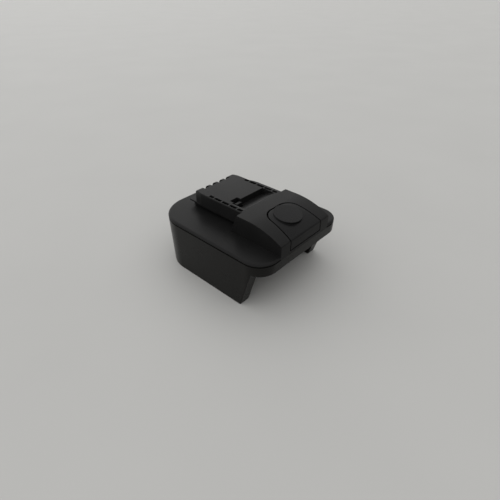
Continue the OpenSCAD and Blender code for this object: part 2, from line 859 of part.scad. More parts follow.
// Lug that turns on the hinge pin
module hinge_lug(s) {
    intersection() {
        side_slice(lug_w, s * lug_x)
            union() {
                translate([hinge.y, hinge.z])
                    circle(d = lug_d);
                translate([hinge.y - lug_d / 2, hinge.z])
                    square([lug_d, lug_d]);
            }
        side_slice(block_w)
            deck_profile(part_z, block_back, -latch_t / 2);
    }
}

// Boss and peg that hold the top of a spring
module spring_boss(s) {
    intersection() {
        translate([s * spring_x, disc.y, spring_top])
            cylinder(h = deck_z - spring_top, d = spring_d + 2 * spring_wire);
        side_slice(block_w)
            deck_profile(part_z, block_back, -latch_t / 2);
    }
    translate([s * spring_x, disc.y, spring_top - peg_l])
        cylinder(h = peg_l + cut, d = peg_d);
}

// Arm that runs back under the ramp to the hook
module hook_arm() {
    tip_z = contact_z - hook_below;
    web_top = deck_z - latch_t / 2;
    side_slice(hook_w, hook_x)
        polygon([[web_y, arm_z], [hook_y + hook_l, arm_z],
            [hook_y + hook_l, tip_z - hook_l / 2], [hook_y + hook_l / 2, tip_z],
            [hook_y, tip_z], [hook_y, arm_z + arm_t], [web_y, arm_z + arm_t]]);
    side_slice(hook_w - 2 * latch_gap, hook_x)
        polygon([[web_y, arm_z], [web_y + web_t, arm_z], [web_y + web_t, web_top],
            [web_y, web_top - latch_t / 4]]);
}

// Steel pin that the latch turns on
module latch_hinge_pin() {
    color("#b8bcc0")
        translate([0, hinge.y, hinge.z])
            rotate([0, 90, 0])
                cylinder(h = pin_l, d = pin_d, center = true);
}

// Ring of points round a point on a path, square to the direction
function ring(centre, along, r, sides) =
    let (side = cross(along, abs(along.x) > 0.9 * norm(along) ? [0, 0, 1] : [1, 0, 0]))
    let (u = side / norm(side))
    let (v = cross(along, u) / norm(along))
    [for (i = [0 : sides - 1]) centre + r * (cos(360 * i / sides) * u + sin(360 * i / sides) * v)];

// Closed round tube along a list of points, cut square to the directions at its two ends
module tube(path, r, sides, first, last) {
    n = len(path);
    rings = [for (i = [0 : n - 1])
        let (along = i == 0 ? first : i == n - 1 ? last : path[i + 1] - path[i - 1])
        ring(path[i], along, r, sides)];
    sides_faces = [for (i = [0 : n - 2], j = [0 : sides - 1], half = [0, 1])
        let (k = (j + 1) % sides)
        half == 0
            ? [i * sides + j, (i + 1) * sides + j, i * sides + k]
            : [i * sides + k, (i + 1) * sides + j, (i + 1) * sides + k]];
    end_faces = [for (j = [1 : sides - 2], end = [0, 1])
        end == 0 ? [0, j, j + 1] : [(n - 1) * sides, (n - 1) * sides + j + 1, (n - 1) * sides + j]];
    polyhedron([for (one = rings) each one], concat(sides_faces, end_faces));
}

// Helix of one latch spring, with closed ends
function spring_path(x) =
    let (low = spring_low + spring_wire / 2 + fit_gap / 3)
    let (high = spring_top - spring_wire / 2 - fit_gap / 3)
    [for (i = [0 : 8 * spring_turns])
        let (a = 45 * i)
        [x + spring_d / 2 * cos(a), disc.y + spring_d / 2 * sin(a),
            low + (high - low) * i / (8 * spring_turns)]];

// Compression spring between the housing and the latch
module latch_spring(x) {
    path = spring_path(x);
    n = len(path);
    color("#c9ccd0")
        tube(path, spring_wire / 2, 6, path[1] - path[0], path[n - 1] - path[n - 2]);
}

module latch_spring_left() {
    latch_spring(-spring_x);
}

module latch_spring_right() {
    latch_spring(spring_x);
}

// Insulating block that holds the four tool clips
module clip_carrier() {
    half = neck_in - 2 * fit_gap;
    color("#3a3c3f")
        difference() {
            block([-half, carrier_front, board_top], [half, carrier_front + carrier_l, carrier_top]);
            block([carrier_wall - half, carrier_front + carrier_wall, board_top - cut],
                [half - carrier_wall, carrier_front + carrier_l + cut, hollow_top]);
            for (x = clip_places) {
                block([x - clip_w / 2 - clip_gap, clip_front - clip_gap, clip_z - clip_gap],
                    [x + clip_w / 2 + clip_gap, carrier_front + carrier_l + cut, clip_top + clip_gap]);
                block([x - tail_w / 2 - clip_gap, clip_front - clip_gap, hollow_top - cut],
                    [x + tail_w / 2 + clip_gap, clip_front + clip_t + clip_gap, clip_z]);
            }
        }
}

// Sprung clip that grips one of the tool's blades
module clip(i) {
    half = clip_w / 2;
    pinch = jaw_gap / 2;
    flare = half - clip_t;
    color("#c8a24a")
        translate([clip_places[i], clip_front, 0]) {
            for (s = [-1, 1])
                translate([0, 0, clip_z])
                    linear_extrude(clip_h)
                        polygon([[s * half, 0], [s * half, clip_l * 0.4],
                            [s * (pinch + clip_t), clip_l * 0.75], [s * half, clip_l],
                            [s * flare, clip_l], [s * pinch, clip_l * 0.75],
                            [s * (half - clip_t), clip_l * 0.4], [s * (half - clip_t), 0]]);
            block([-half, 0, clip_z], [half, clip_t, clip_z + clip_h]);
            block([-tail_w / 2, 0, clip_z - clip_tail], [tail_w / 2, clip_t, clip_z + cut]);
        }
}

module clip_positive() {
    clip(3);
}

module clip_negative() {
    clip(0);
}

module clip_signal_left() {
    clip(1);
}

module clip_signal_right() {
    clip(2);
}

// Insulating block under the bay ceiling that holds the four blades
module blade_carrier() {
    half = blade_block_w / 2;
    back = blade_block_front + blade_block_l;
    slot = blade_t / 2 + clip_gap / 2;
    color("#3a3c3f")
        difference() {
            block([-half, blade_block_front, bay_top - blade_block_h], [half, back, bay_top]);
            for (x = blade_places) {
                block([x - slot, blade_block_front - cut, blade_z - clip_gap / 2],
                    [x + slot, blade_tail_y + blade_tail / 2 + clip_gap / 2, blade_z + blade_h + clip_gap / 2]);
                block([x - slot, blade_tail_y - blade_tail / 2 - clip_gap / 2, blade_z],
                    [x + slot, blade_tail_y + blade_tail / 2 + clip_gap / 2, bay_top + cut]);
            }
            for (p = carrier_screw_places)
                translate([p.x, p.y, floor_z - carrier_screw_l - cut])
                    cylinder(h = carrier_screw_l + cut, d = screw_d + 2 * pilot_gap);
        }
}

// Flat blade that plugs into the battery pack
module blade(i) {
    front = blade_block_front - blade_l;
    back = blade_tail_y + blade_tail / 2;
    nose_in = blade_h / 4;
    color("#c8a24a")
        side_slice(blade_t, blade_places[i])
            polygon([[front + nose_in, blade_z], [back, blade_z], [back, blade_tail_top],
                [back - blade_tail, blade_tail_top], [back - blade_tail, blade_z + blade_h],
                [front + nose_in, blade_z + blade_h], [front, blade_z + blade_h - nose_in],
                [front, blade_z + nose_in]]);
}

module blade_positive() {
    blade(3);
}

module blade_negative() {
    blade(0);
}

module blade_signal_left() {
    blade(1);
}

module blade_signal_right() {
    blade(2);
}

// Protection board on its four posts
module circuit_board() {
    color("#1f6b3a")
        difference() {
            block([-board_w / 2, board_front, board_z], [board_w / 2, board_back, board_top]);
            for (p = board_screw_places)
                translate([p.x, p.y, board_z - cut])
                    cylinder(h = board_t + 2 * cut, d = board_screw_d + 2 * screw_gap);
        }
}

// Two power transistors with their metal tabs
module power_transistors() {
    tab = transistor_l / 6;
    color("#1a1a1c")
        for (i = [0, 1])
            translate([-transistor_w * 0.2, part_y + i * (transistor_l + 2 * tab), board_top]) {
                block([-transistor_w / 2, -transistor_l / 2, 0],
                    [transistor_w / 2, transistor_l / 2 - tab, transistor_h]);
                block([-transistor_w * 0.4, transistor_l / 2 - tab - cut, 0],
                    [transistor_w * 0.4, transistor_l / 2, transistor_h / 4]);
            }
}

// Small control chip with its two rows of legs
module control_chip() {
    leg = chip_w / 10;
    color("#17181a")
        translate([chip_w * 1.5, part_y, board_top]) {
            block([-chip_w / 2, -chip_l / 2, leg / 2], [chip_w / 2, chip_l / 2, chip_h]);
            for (s = [-1, 1], i = [-1.5 : 1.5])
                block([i * chip_w / 4 - leg / 2, s > 0 ? chip_l / 2 - leg : -chip_l / 2 - leg, 0],
                    [i * chip_w / 4 + leg / 2, s > 0 ? chip_l / 2 + leg : leg - chip_l / 2, chip_h / 2]);
        }
}

// Upright capacitor with its grooved can
module smoothing_capacitor() {
    r = capacitor_d / 2;
    neck = capacitor_d / 16;
    color("#2d3f66")
        translate([tall_x, part_y + transistor_l + capacitor_d / 4, board_top])
            rotate_extrude()
                polygon([[0, 0], [r, 0], [r, neck], [r - neck, 2 * neck], [r, 3 * neck],
                    [r, capacitor_h - neck], [r - neck, capacitor_h], [0, capacitor_h]]);
}

// Row of chip resistors beside the transistors
module chip_resistors() {
    color("#0f0f10")
        for (i = [0 : 3])
            translate([transistor_w * 0.45 + resistor_w, part_y + (i - 1) * resistor_l * 1.3, board_top])
                block([-resistor_w / 2, -resistor_l / 2, 0], [resistor_w / 2, resistor_l / 2, resistor_h]);
}

// Point on a smooth curve through a list of points
function curve_point(p, i, t) =
    let (a = p[max(i - 1, 0)], b = p[i], c = p[i + 1], d = p[min(i + 2, len(p) - 1)])
    0.5 * (2 * b + (c - a) * t + (2 * a - 5 * b + 4 * c - d) * t * t
        + (3 * b - 3 * c + d - a) * t * t * t);

function curve(p, steps) = [
    for (i = [0 : len(p) - 2], k = [0 : steps - 1]) curve_point(p, i, k / steps),
    p[len(p) - 1]];

// Route of a wire from a blade's tail over the board to a clip's tail
function tool_route(i) =
    let (from = blade_places[i], to = clip_places[i], span = wire_in_y - wire_out_y)
    [[from, wire_in_y, wire_z],
        [from, wire_in_y - wire_lead, wire_z],
        [(from + to) / 2, wire_in_y - span * 0.17, wire_over_z],
        [to, wire_in_y - span * 0.36, (wire_over_z + 2 * wire_out_z) / 3],
        [to, wire_out_y + span / 4, wire_out_z],
        [to, wire_out_y, wire_out_z]];

// Insulated wire along a route
module wire(route, d, shade) {
    n = len(route);
    color(shade)
        tube(curve(route, 4), d / 2, 8, route[1] - route[0], route[n - 1] - route[n - 2]);
}

module wire_positive() {
    wire(tool_route(3), power_wire_d, "#a8201c");
}

module wire_signal_left() {
    wire(tool_route(1), signal_wire_d, "#c9b13a");
}

module wire_signal_right() {
    wire(tool_route(2), signal_wire_d, "#d8d8d4");
}

// Black wire from the negative blade down to the board
module wire_negative_pack() {
    x = blade_places[0];
    d = power_wire_d;
    pad = board_back - pad_in;
    wire([[x, wire_in_y, wire_z], [x, wire_in_y - wire_lead, wire_z],
        [x, board_back + d * 0.45, board_top + d * 0.77], [x, pad + d * 0.55, board_top + d * 1.05],
        [x, pad, board_top + d * 0.64], [x, pad, board_top]], d, "#161616");
}

// Black wire from the board up to the negative clip
module wire_negative_tool() {
    x = clip_places[0];
    d = power_wire_d;
    pad = wire_out_y + clip_l * 0.44;
    wire([[x, pad, board_top], [x, pad, board_top + d * 0.73], [x, pad - d * 0.64, wire_out_z - d * 0.18],
        [x, pad - d * 1.55, wire_out_z], [x, wire_out_y, wire_out_z]], d, "#161616");
}

// Pan-head screw standing on its head, with a crossed recess
module screw(shank_d, shank_l, top_d, top_h) {
    color("#8f9499")
        difference() {
            union() {
                cylinder(h = top_h, d = top_d);
                cylinder(h = top_h + shank_l, d = shank_d);
            }
            for (a = [0, 90])
                rotate([0, 0, a])
                    translate([-top_d / 3, -cross_w / 2, -cut])
                        cube([top_d / 1.5, cross_w, cut + top_h / 2]);
        }
}

// Four screws that hold the two shells together from below
module housing_screws() {
    for (p = housing_screw_places)
        translate([p.x, p.y, bay_top])
            screw(screw_d, screw_l, head_d, head_h);
}

// Two screws that hold the blade carrier from above
module carrier_screws() {
    for (p = carrier_screw_places)
        translate([p.x, p.y, floor_z + head_h])
            rotate([180, 0, 0])
                screw(screw_d, carrier_screw_l, head_d, head_h);
}

// Two screws that hold the circuit board
module board_screws() {
    for (p = board_screw_places)
        translate([p.x, p.y, board_top + board_head_h])
            rotate([180, 0, 0])
                screw(board_screw_d, board_screw_l, board_head_d, board_head_h);
}

lower_housing();
top_cover();
release_latch();
latch_hinge_pin();
latch_spring_left();
latch_spring_right();
clip_carrier();
clip_positive();
clip_negative();
clip_signal_left();
clip_signal_right();
blade_carrier();
blade_positive();
blade_negative();
blade_signal_left();
blade_signal_right();
circuit_board();
power_transistors();
control_chip();
smoothing_capacitor();
chip_resistors();
wire_positive();
wire_negative_pack();
wire_negative_tool();
wire_signal_left();
wire_signal_right();
housing_screws();
carrier_screws();
board_screws();
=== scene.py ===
import math

import bmesh
import bpy
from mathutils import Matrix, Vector
from mathutils.bvhtree import BVHTree


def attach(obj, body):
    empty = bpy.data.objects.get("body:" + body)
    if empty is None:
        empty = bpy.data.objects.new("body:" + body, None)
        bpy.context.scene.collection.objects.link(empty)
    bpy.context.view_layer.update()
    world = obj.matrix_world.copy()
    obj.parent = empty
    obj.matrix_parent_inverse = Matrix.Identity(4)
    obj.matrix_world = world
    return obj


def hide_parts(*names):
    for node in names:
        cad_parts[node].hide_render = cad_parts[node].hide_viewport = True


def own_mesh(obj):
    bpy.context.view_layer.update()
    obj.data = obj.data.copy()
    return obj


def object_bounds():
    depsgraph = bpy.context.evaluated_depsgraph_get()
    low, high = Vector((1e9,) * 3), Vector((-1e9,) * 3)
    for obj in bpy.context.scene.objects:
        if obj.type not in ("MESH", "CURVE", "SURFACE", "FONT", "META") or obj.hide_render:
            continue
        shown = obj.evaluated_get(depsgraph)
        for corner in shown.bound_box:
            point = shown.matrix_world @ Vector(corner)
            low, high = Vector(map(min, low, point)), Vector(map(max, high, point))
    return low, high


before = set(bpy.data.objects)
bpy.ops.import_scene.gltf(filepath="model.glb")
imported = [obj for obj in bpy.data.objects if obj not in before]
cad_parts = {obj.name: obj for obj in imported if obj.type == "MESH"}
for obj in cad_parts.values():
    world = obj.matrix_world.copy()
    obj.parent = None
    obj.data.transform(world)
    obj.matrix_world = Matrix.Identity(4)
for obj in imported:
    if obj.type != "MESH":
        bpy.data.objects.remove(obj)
cad_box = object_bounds()

# Lower housing
# One black glass-filled nylon moulding: the skirt, the front band, the bay ceiling and the guide ledges.
# The tool steel behind it was spark eroded, which leaves a fine even grain and softly broken corners.
HOUSING_BLACK = (0.0077, 0.0075, 0.0069)
HOUSING_CORNER = 0.00025
WALL_END_ROUND = 0.0008
UP = Vector((0, 0, 1))
DOWN = Vector((0, 0, -1))
NOTHING = Vector((0, 0, 0))


def feed(tree, socket, item):
    """Links an output to a socket, or sets the socket to a plain value."""
    if hasattr(item, "links"):
        tree.links.new(item, socket)
    else:
        socket.default_value = item


def object_place(tree):
    return tree.nodes.new("ShaderNodeTexCoord").outputs["Object"]


def noise(tree, place, scale, detail, stretch=None):
    """Noise at a place, optionally stretched along an axis."""
    if stretch:
        mapping = tree.nodes.new("ShaderNodeMapping")
        mapping.inputs["Scale"].default_value = stretch
        tree.links.new(place, mapping.inputs["Vector"])
        place = mapping.outputs["Vector"]
    texture = tree.nodes.new("ShaderNodeTexNoise")
    texture.inputs["Scale"].default_value = scale
    texture.inputs["Detail"].default_value = detail
    tree.links.new(place, texture.inputs["Vector"])
    return texture.outputs["Fac"]


def sums(tree, operation, first, second, clamp=False):
    node = tree.nodes.new("ShaderNodeMath")
    node.operation = operation
    node.use_clamp = clamp
    feed(tree, node.inputs[0], first)
    feed(tree, node.inputs[1], second)
    return node.outputs[0]


def spread(tree, source, low, high, to_low, to_high):
    """Maps the range from low to high onto another range."""
    node = tree.nodes.new("ShaderNodeMapRange")
    for title, item in zip(("Value", "From Min", "From Max", "To Min", "To Max"),
                           (source, low, high, to_low, to_high)):
        feed(tree, node.inputs[title], item)
    return node.outputs["Result"]


NOISE_LOW, NOISE_HIGH = 0.3, 0.7


def swing(tree, source, to_low, to_high):
    """Maps the range that most of a noise falls in."""
    return spread(tree, source, NOISE_LOW, NOISE_HIGH, to_low, to_high)


def blend_colour(tree, amount, first, second, mode="MIX"):
    node = tree.nodes.new("ShaderNodeMix")
    node.data_type = "RGBA"
    node.blend_type = mode
    feed(tree, node.inputs["Factor"], amount)
    feed(tree, node.inputs["A"], first)
    feed(tree, node.inputs["B"], second)
    return node.outputs["Result"]


def new_group(name, values):
    """Finish group: a colour and named values go in, and a colour, a roughness and a height come out."""
    group = bpy.data.node_groups.new(name, "ShaderNodeTree")
    group.interface.new_socket("Colour", in_out="INPUT", socket_type="NodeSocketColor")
    for title, default in values.items():
        socket = group.interface.new_socket(title, in_out="INPUT", socket_type="NodeSocketFloat")
        socket.default_value = default
    group.interface.new_socket("Colour", in_out="OUTPUT", socket_type="NodeSocketColor")
    for title in ("Roughness", "Height"):
        group.interface.new_socket(title, in_out="OUTPUT", socket_type="NodeSocketFloat")
    return group, group.nodes.new("NodeGroupInput").outputs, group.nodes.new("NodeGroupOutput").inputs


RUBBED_GREY = (0.073, 0.073, 0.072, 1)
SCUFF_LOW, SCUFF_HIGH, SCUFF_LEAST = 0.35, 0.7, 0.25
GRAIN_SPECK = 0.1
CLOUD_DULL = 0.05
PIT_DULL = 0.03
RUBBED_POLISH = 0.3
PIT_RELIEF = 0.6


def mould_grain():
    """Spark-eroded plastic: fine grain, cloudy handling marks and polished, slightly paler corners."""
    group, given, out = new_group("mould_grain", {"Roughness": 0.55, "Cloud": 0.12, "Wear": 0.3})
    place = object_place(group)
    grain = noise(group, place, scale=2600, detail=2)
    pits = noise(group, place, scale=900, detail=3)
    cloud = noise(group, place, scale=48, detail=4)
    scuffs = noise(group, place, scale=190, detail=3, stretch=(1, 0.25, 1))
    corner = group.nodes.new("ShaderNodeAttribute")
    corner.attribute_name = "corner"
    patchy = spread(group, scuffs, SCUFF_LOW, SCUFF_HIGH, SCUFF_LEAST, 1)
    rubbed = sums(group, "MULTIPLY", corner.outputs["Fac"], patchy)
    rubbed = sums(group, "MULTIPLY", rubbed, given["Wear"], clamp=True)
    shade = swing(group, cloud, sums(group, "SUBTRACT", 1, given["Cloud"]),
                  sums(group, "ADD", 1, given["Cloud"]))
    speck = swing(group, grain, 1 - GRAIN_SPECK, 1 + GRAIN_SPECK)
    tint = group.nodes.new("ShaderNodeCombineColor")
    for channel in tint.inputs:
        group.links.new(sums(group, "MULTIPLY", shade, speck), channel)
    base = blend_colour(group, 1.0, given["Colour"], tint.outputs["Color"], "MULTIPLY")
    group.links.new(blend_colour(group, rubbed, base, RUBBED_GREY), out["Colour"])
    dull = sums(group, "ADD", given["Roughness"], swing(group, cloud, -CLOUD_DULL, CLOUD_DULL))
    dull = sums(group, "ADD", dull, swing(group, pits, -PIT_DULL, PIT_DULL))
    polish = sums(group, "MULTIPLY", rubbed, RUBBED_POLISH)
    group.links.new(sums(group, "SUBTRACT", dull, polish, clamp=True), out["Roughness"])
    group.links.new(sums(group, "ADD", grain, sums(group, "MULTIPLY", pits, PIT_RELIEF)), out["Height"])
    return group


MOULD_GRAIN = mould_grain()
BUMP_STRENGTH = 0.3


def finished(name, group, colour, values, bump_depth, plain=None):
    """Material whose colour, roughness and relief come from a finish group, with plain shader values."""
    material = bpy.data.materials.new(name)
    material.use_nodes = True
    tree = material.node_tree
    shader = tree.nodes["Principled BSDF"]
    finish = tree.nodes.new("ShaderNodeGroup")
    finish.node_tree = group
    finish.inputs["Colour"].default_value = (*colour, 1)
    for title, item in values.items():
        finish.inputs[title].default_value = item
    tree.links.new(finish.outputs["Colour"], shader.inputs["Base Color"])
    tree.links.new(finish.outputs["Roughness"], shader.inputs["Roughness"])
    bump = tree.nodes.new("ShaderNodeBump")
    bump.inputs["Strength"].default_value = BUMP_STRENGTH
    bump.inputs["Distance"].default_value = bump_depth
    tree.links.new(finish.outputs["Height"], bump.inputs["Height"])
    tree.links.new(bump.outputs["Normal"], shader.inputs["Normal"])
    for title, item in (plain or {}).items():
        shader.inputs[title].default_value = item
    return material


SHARP = math.radians(32)
FACING = 0.5
CLEAR = 1e-5


def sharp_edges(shell):
    return [edge for edge in shell.edges if len(edge.link_faces) == 2 and edge.calc_face_angle() > SHARP]


def outer_corners(shell, hidden):
    """Sharp edges of the faces that look out of a shell, apart from the side that another piece hides."""
    tree = BVHTree.FromBMesh(shell)
    seen = set()
    for face in shell.faces:
        start = face.calc_center_median() + face.normal * CLEAR
        if face.normal.dot(hidden) < FACING and tree.ray_cast(start, face.normal)[0] is None:
            seen.add(face)
    return [edge for edge in sharp_edges(shell) if not seen.isdisjoint(edge.link_faces)]


def break_edges(shell, edges, radius, steps, wear):
    """Rounds edges, and marks the new faces with how far hands rub them."""
    made = bmesh.ops.bevel(shell, geom=edges, offset=radius, offset_type="OFFSET", segments=steps,
                           profile=0.5, affect="EDGES", material=-1, clamp_overlap=False)
    for face in made["faces"]:
        face[shell.faces.layers.float["corner"]] = wear


WELD = 2e-6
FLAT = math.radians(0.6)
ROUND_STEPS, ROUND_WEAR = 3, 0.5
CORNER_STEPS, CORNER_WEAR = 2, 1


def moulded_copy(node, name, corner_radius, material, body, hidden=NOTHING, chosen=None, radius=0):
    """Copy of a CAD shell with its corners broken by a small radius, and chosen edges by a larger one."""
    shell = bmesh.new()
    shell.from_mesh(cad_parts[node].data)
    shell.faces.layers.float.new("corner")
    bmesh.ops.remove_doubles(shell, verts=shell.verts, dist=WELD)
    bmesh.ops.dissolve_limit(shell, angle_limit=FLAT, verts=shell.verts, edges=shell.edges)
    if chosen:
        picked = [edge for edge in sharp_edges(shell) if chosen(edge)]
        break_edges(shell, picked, radius, ROUND_STEPS, ROUND_WEAR)
    break_edges(shell, outer_corners(shell, hidden), corner_radius, CORNER_STEPS, CORNER_WEAR)
    mesh = bpy.data.meshes.new(name)
    shell.to_mesh(mesh)
    shell.free()
    stored = mesh.attributes.get("custom_normal")
    if stored:
        mesh.attributes.remove(stored)
    mesh.shade_smooth()
    mesh.set_sharp_from_angle(angle=SHARP)
    mesh.materials.clear()
    mesh.materials.append(material)
    piece = bpy.data.objects.new(name, mesh)
    bpy.context.scene.collection.objects.link(piece)
    even = piece.modifiers.new("even shading", "WEIGHTED_NORMAL")
    even.keep_sharp = True
    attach(piece, body)
    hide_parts(node)


FORWARD = -0.8
RAKE_LOW, RAKE_HIGH = -0.5, -0.1
WALL_OUTSIDE = 0.02


def on_wall_end(edge):
    """Outer corner of a raked wall end, which looks forward and a little down."""
    return (any(face.normal.y < FORWARD and RAKE_LOW < face.normal.z < RAKE_HIGH for face in edge.link_faces)
            and any(face.normal.x * face.calc_center_median().x > WALL_OUTSIDE for face in edge.link_faces))


SPARK_DEPTH = 0.00003
housing_finish = finished("housing_plastic", MOULD_GRAIN, HOUSING_BLACK,
                          {"Roughness": 0.3, "Cloud": 0.14, "Wear": 0.1}, SPARK_DEPTH,
                          {"Specular IOR Level": 0.115})
moulded_copy("lower_housing", "skirt_shell", HOUSING_CORNER, housing_finish, "housing",
             hidden=UP, chosen=on_wall_end, radius=WALL_END_ROUND)

# Blade carrier and blades
# The carrier is a smooth black insulator under the bay ceiling. The four blades are stamped from half-hard
# brass strip, with a faint rolling direction and a little tarnish, and are pushed into it from the front.
INSULATOR_BLACK = (0.03, 0.03, 0.032)
BLADE_CARRIER_CORNER = 0.0003
BLADE_BRASS = (0.72, 0.50, 0.21)
SMOOTH_DEPTH = 0.00001
TARNISH_TINT = (0.45, 0.36, 0.28, 1)
TARNISH_LOW, TARNISH_HIGH = 0.42, 0.75
TARNISH_DULL = 0.25
LINE_SHINE, LINE_DULL = -0.06, 0.08


def drawn_metal():
    """Rolled or drawn metal: lines along one direction and cloudy tarnish."""
    group, given, out = new_group("drawn_metal", {"Roughness": 0.3, "Tarnish": 0.3})
    place = object_place(group)
    lines = noise(group, place, scale=3000, detail=2, stretch=(1, 0.03, 1))
    cloud = noise(group, place, scale=230, detail=4)
    patchy = spread(group, cloud, TARNISH_LOW, TARNISH_HIGH, 0, 1)
    stain = sums(group, "MULTIPLY", patchy, given["Tarnish"], clamp=True)
    dark = blend_colour(group, 1.0, given["Colour"], TARNISH_TINT, "MULTIPLY")
    group.links.new(blend_colour(group, stain, given["Colour"], dark), out["Colour"])
    dull = sums(group, "ADD", given["Roughness"], swing(group, lines, LINE_SHINE, LINE_DULL))
    dull = sums(group, "ADD", dull, sums(group, "MULTIPLY", stain, TARNISH_DULL), clamp=True)
    group.links.new(dull, out["Roughness"])
    group.links.new(lines, out["Height"])
    return group


DRAWN_METAL = drawn_metal()


def dress(nodes, material):
    """Gives CAD nodes, whose shapes are right, their finish."""
    for node in nodes:
        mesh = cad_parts[node].data
        mesh.materials.clear()
        mesh.materials.append(material)


insulator_finish = finished("insulator", MOULD_GRAIN, INSULATOR_BLACK,
                            {"Roughness": 0.42, "Cloud": 0.08, "Wear": 0.2}, SMOOTH_DEPTH)
brass_finish = finished("contact_brass", DRAWN_METAL, BLADE_BRASS,
                        {"Roughness": 0.27, "Tarnish": 0.45}, SMOOTH_DEPTH, {"Metallic": 1.0})
moulded_copy("blade_carrier", "terminal_block", BLADE_CARRIER_CORNER, insulator_finish,
             "housing")
dress(("blade_positive", "blade_negative", "blade_signal_left", "blade_signal_right"), brass_finish)

# Circuit board and its parts
# A glass-fibre board with green solder mask over copper, screwed to posts on the bay ceiling. It carries two
# power transistors, a control chip and chip resistors in black resin, and a capacitor in a blue sleeve.
MASK_GREEN = (0.018, 0.14, 0.05)
LAND_TINT = (0.12, 0.16, 0.04, 1)
LAND_SCALE = 240
LAND_GAP = 0.06
LAND_DEPTH = 0.00002
MASK_DULL = 0.05
RESIN_BLACK = (0.016, 0.016, 0.017)
SLEEVE_BLUE = (0.03, 0.055, 0.16)
SLEEVE_DEPTH = 0.000005


def etched_board():
    """Solder mask with copper lands showing through as a paler pattern."""
    group, given, out = new_group("etched_board", {"Roughness": 0.35, "Land": 0.4})
    place = object_place(group)
    bricks = group.nodes.new("ShaderNodeTexBrick")
    bricks.inputs["Scale"].default_value = LAND_SCALE
    bricks.inputs["Mortar Size"].default_value = LAND_GAP
    group.links.new(place, bricks.inputs["Vector"])
    cloud = noise(group, place, scale=300, detail=3)
    land = sums(group, "MULTIPLY", bricks.outputs["Fac"], given["Land"], clamp=True)
    paler = blend_colour(group, 1.0, given["Colour"], LAND_TINT, "ADD")
    group.links.new(blend_colour(group, land, given["Colour"], paler), out["Colour"])
    dull = sums(group, "ADD", given["Roughness"], swing(group, cloud, -MASK_DULL, MASK_DULL))
    group.links.new(dull, out["Roughness"])
    group.links.new(bricks.outputs["Fac"], out["Height"])
    return group


board_finish = finished("board_laminate", etched_board(), MASK_GREEN,
                        {"Roughness": 0.34, "Land": 0.5}, LAND_DEPTH)
resin_finish = finished("component_black", MOULD_GRAIN, RESIN_BLACK,
                        {"Roughness": 0.5, "Cloud": 0.1, "Wear": 0.1}, SMOOTH_DEPTH)
sleeve_finish = finished("capacitor_sleeve", MOULD_GRAIN, SLEEVE_BLUE,
                         {"Roughness": 0.28, "Cloud": 0.08, "Wear": 0.1}, SLEEVE_DEPTH)
dress(("circuit_board",), board_finish)
dress(("power_transistors", "control_chip", "chip_resistors"), resin_finish)
dress(("smoothing_capacitor",), sleeve_finish)

# Wires
# Stranded copper in soft silicone insulation, soldered between blades, board and clips. Red is the positive
# side, black the negative, and the two thin ones carry the pack's signals.
WIRES = {"wire_red": ((0.40, 0.022, 0.018), ("wire_positive",)),
         "wire_black": ((0.014, 0.014, 0.014), ("wire_negative_pack", "wire_negative_tool")),
         "wire_yellow": ((0.58, 0.43, 0.05), ("wire_signal_left",)),
         "wire_white": ((0.66, 0.65, 0.61), ("wire_signal_right",))}
for title, (colour, wire_nodes) in WIRES.items():
    wire_finish = finished(title, MOULD_GRAIN, colour,
                           {"Roughness": 0.5, "Cloud": 0.06, "Wear": 0.0}, SLEEVE_DEPTH)
    dress(wire_nodes, wire_finish)

# Clip carrier and clips
# The second insulator stands on the board inside the head. Each clip is folded from sprung brass, and its
# jaws sit behind one of the slots at the back of the rails.
CLIP_CARRIER_CORNER = 0.0002
moulded_copy("clip_carrier", "clip_block", CLIP_CARRIER_CORNER, insulator_finish, "housing")
dress(("clip_positive", "clip_negative", "clip_signal_left", "clip_signal_right"), brass_finish)

# Latch pin and springs
# A ground steel pin carries the latch, and two compression springs of zinc-plated music wire push it up. They
# stand on the cover's floor.
STEEL_GREY = (0.55, 0.56, 0.58)
STEEL_DEPTH = 0.000008
steel_finish = finished("bright_steel", DRAWN_METAL, STEEL_GREY,
                        {"Roughness": 0.26, "Tarnish": 0.25}, STEEL_DEPTH, {"Metallic": 1.0})
dress(("latch_hinge_pin",), steel_finish)
for side in ("left", "right"):
    spring_node = "latch_spring_" + side
    spring = bpy.data.objects.new("return_spring_" + side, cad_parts[spring_node].data.copy())
    spring.data.materials.clear()
    spring.data.materials.append(steel_finish)
    bpy.context.scene.collection.objects.link(spring)
    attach(spring, "housing")
    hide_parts(spring_node)
    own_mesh(spring)

# Release latch
# A shield-shaped lever in the same black nylon, with a raised thumb disc and a front lip. Thumbs polish it
# a little more than the shells.
LATCH_BLACK = (0.0067, 0.0067, 0.0069)
LATCH_CORNER = 0.00025
FRONT_FACE = -0.0475
NOSE_LOW = 0.037
NOSE_ROUND = 0.0007


def on_nose(edge):
    """Edge between the nose and the front face."""
    return (all(abs(vert.co.y - FRONT_FACE) < WELD for vert in edge.verts)
            and any(face.normal.z > FACING for face in edge.link_faces)
            and edge.verts[0].co.z > NOSE_LOW)


latch_finish = finished("latch_plastic", MOULD_GRAIN, LATCH_BLACK,
                        {"Roughness": 0.32, "Cloud": 0.1, "Wear": 0.1}, SPARK_DEPTH,
                        {"Specular IOR Level": 0.073})
moulded_copy("release_latch", "thumb_latch", LATCH_CORNER, latch_finish, "latch",
             hidden=DOWN, chosen=on_nose, radius=NOSE_ROUND)

